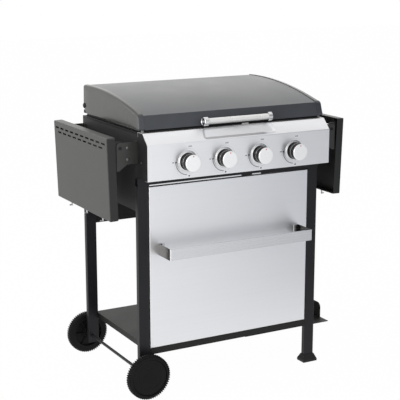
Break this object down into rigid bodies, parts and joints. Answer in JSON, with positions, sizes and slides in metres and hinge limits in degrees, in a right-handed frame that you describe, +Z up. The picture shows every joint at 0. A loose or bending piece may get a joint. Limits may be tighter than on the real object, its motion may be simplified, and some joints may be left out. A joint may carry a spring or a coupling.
{
  "type": "gas grill",
  "caption": "Gas grill on a two-wheeled cart, with a hinged low curved lid, push-and-turn knobs, folding side shelves, a bottle tray and a sliding grease tray.",
  "frame": {"origin": "on the floor, under the centre of the box round the whole part at rest", "axes": "+X to the right of someone at the controls, +Y to the back, +Z up"},
  "size_m": [0.894, 0.592, 0.9813],
  "materials": {
    "black_paint": "satin black",
    "firebox_paint": "satin dark grey",
    "lid_paint": "semi-gloss dark grey",
    "shelf_paint": "semi-gloss grey",
    "stainless": "brushed",
    "chrome": "polished",
    "zinc_steel": "zinc plated",
    "pipe_steel": "plain",
    "burner_steel": "plain",
    "valve_brass": "machined",
    "grate_iron": "matte enamel",
    "black_plastic": "matte",
    "knob_plastic": "satin",
    "wheel_plastic": "matte",
    "buffer_rubber": "matte"
  },
  "bodies": {
    "cart": {"leg_front_left": "black_paint", "leg_rear_left": "black_paint", "leg_front_right": "black_paint", "leg_rear_right": "black_paint", "front_rail": "black_paint", "bottom_shelf": "black_paint", "bottle_tray": "black_paint", "shelf_brackets": "black_paint", "lid_hinge_brackets": "black_paint", "side_panel_left": "firebox_paint", "side_panel_right": "firebox_paint", "rear_panel": "firebox_paint", "front_wall": "firebox_paint", "tray_runners": "firebox_paint", "feet": "black_plastic", "control_panel_ends": "black_plastic", "lid_buffers": "buffer_rubber", "front_panel": "stainless", "panel_handle": "stainless", "control_panel": "stainless", "axle": "zinc_steel", "axle_spacers": "black_plastic", "axle_nuts": "zinc_steel", "knob_bezels": "chrome", "gas_manifold": "pipe_steel", "gas_valves": "valve_brass", "gas_inlet": "pipe_steel", "burners": "burner_steel", "flame_tamers": "burner_steel", "grate_left": "grate_iron", "grate_right": "grate_iron", "shelf_pivot_bolts": "zinc_steel", "fasteners": "zinc_steel"},
    "lid": {"lid_shell": "lid_paint", "lid_end_left": "lid_paint", "lid_end_right": "lid_paint", "lid_handle": "chrome", "lid_handle_posts": "chrome", "lid_hinge_bolts": "zinc_steel"},
    "side_shelf_left": {"shelf_left": "shelf_paint", "shelf_hooks_left": "zinc_steel"},
    "side_shelf_right": {"shelf_right": "shelf_paint", "shelf_hooks_right": "zinc_steel"},
    "front_wheel": {"wheel_front": "wheel_plastic", "wheel_cover_front": "wheel_plastic"},
    "rear_wheel": {"wheel_rear": "wheel_plastic", "wheel_cover_rear": "wheel_plastic"},
    "drip_tray": {"grease_tray": "zinc_steel"},
    "valve_1": {"valve_plug_1": "valve_brass"},
    "control_1": {"knob_1": "knob_plastic", "spindle_1": "valve_brass"},
    "valve_2": {"valve_plug_2": "valve_brass"},
    "control_2": {"knob_2": "knob_plastic", "spindle_2": "valve_brass"},
    "valve_3": {"valve_plug_3": "valve_brass"},
    "control_3": {"knob_3": "knob_plastic", "spindle_3": "valve_brass"},
    "valve_4": {"valve_plug_4": "valve_brass"},
    "control_4": {"knob_4": "knob_plastic", "spindle_4": "valve_brass"}
  },
  "joints": [
    {"name": "lid_hinge", "type": "hinge", "parent": "cart", "child": "lid", "pos_m": [0, 0.228, 0.909], "axis": [-1, 0, 0], "range_deg": [0, 95]},
    {"name": "shelf_left_fold", "type": "hinge", "parent": "cart", "child": "side_shelf_left", "pos_m": [-0.4, 0, 0.829], "axis": [0, 1, 0], "range_deg": [0, 91.8]},
    {"name": "shelf_right_fold", "type": "hinge", "parent": "cart", "child": "side_shelf_right", "pos_m": [0.4, 0, 0.829], "axis": [0, -1, 0], "range_deg": [0, 91.8]},
    {"name": "front_wheel_spin", "type": "hinge", "parent": "cart", "child": "front_wheel", "pos_m": [-0.327, -0.22, 0.075], "axis": [0, 1, 0], "continuous": true},
    {"name": "rear_wheel_spin", "type": "hinge", "parent": "cart", "child": "rear_wheel", "pos_m": [-0.327, 0.282, 0.075], "axis": [0, 1, 0], "continuous": true},
    {"name": "drip_tray_slide", "type": "slide", "parent": "cart", "child": "drip_tray", "axis": [0, 1, 0], "range_m": [0, 0.33]},
    {"name": "valve_1_turn", "type": "hinge", "parent": "cart", "child": "valve_1", "pos_m": [-0.1995, -0.23, 0.782], "axis": [0, -1, 0], "range_deg": [0, 180]},
    {"name": "knob_1_push", "type": "slide", "parent": "valve_1", "child": "control_1", "axis": [0, 1, 0], "range_m": [0, 0.004], "stiffness_N_per_m": 900},
    {"name": "valve_2_turn", "type": "hinge", "parent": "cart", "child": "valve_2", "pos_m": [-0.0665, -0.23, 0.782], "axis": [0, -1, 0], "range_deg": [0, 180]},
    {"name": "knob_2_push", "type": "slide", "parent": "valve_2", "child": "control_2", "axis": [0, 1, 0], "range_m": [0, 0.004], "stiffness_N_per_m": 900},
    {"name": "valve_3_turn", "type": "hinge", "parent": "cart", "child": "valve_3", "pos_m": [0.0665, -0.23, 0.782], "axis": [0, -1, 0], "range_deg": [0, 180]},
    {"name": "knob_3_push", "type": "slide", "parent": "valve_3", "child": "control_3", "axis": [0, 1, 0], "range_m": [0, 0.004], "stiffness_N_per_m": 900},
    {"name": "valve_4_turn", "type": "hinge", "parent": "cart", "child": "valve_4", "pos_m": [0.1995, -0.23, 0.782], "axis": [0, -1, 0], "range_deg": [0, 180]},
    {"name": "knob_4_push", "type": "slide", "parent": "valve_4", "child": "control_4", "axis": [0, 1, 0], "range_m": [0, 0.004], "stiffness_N_per_m": 900}
  ]
}
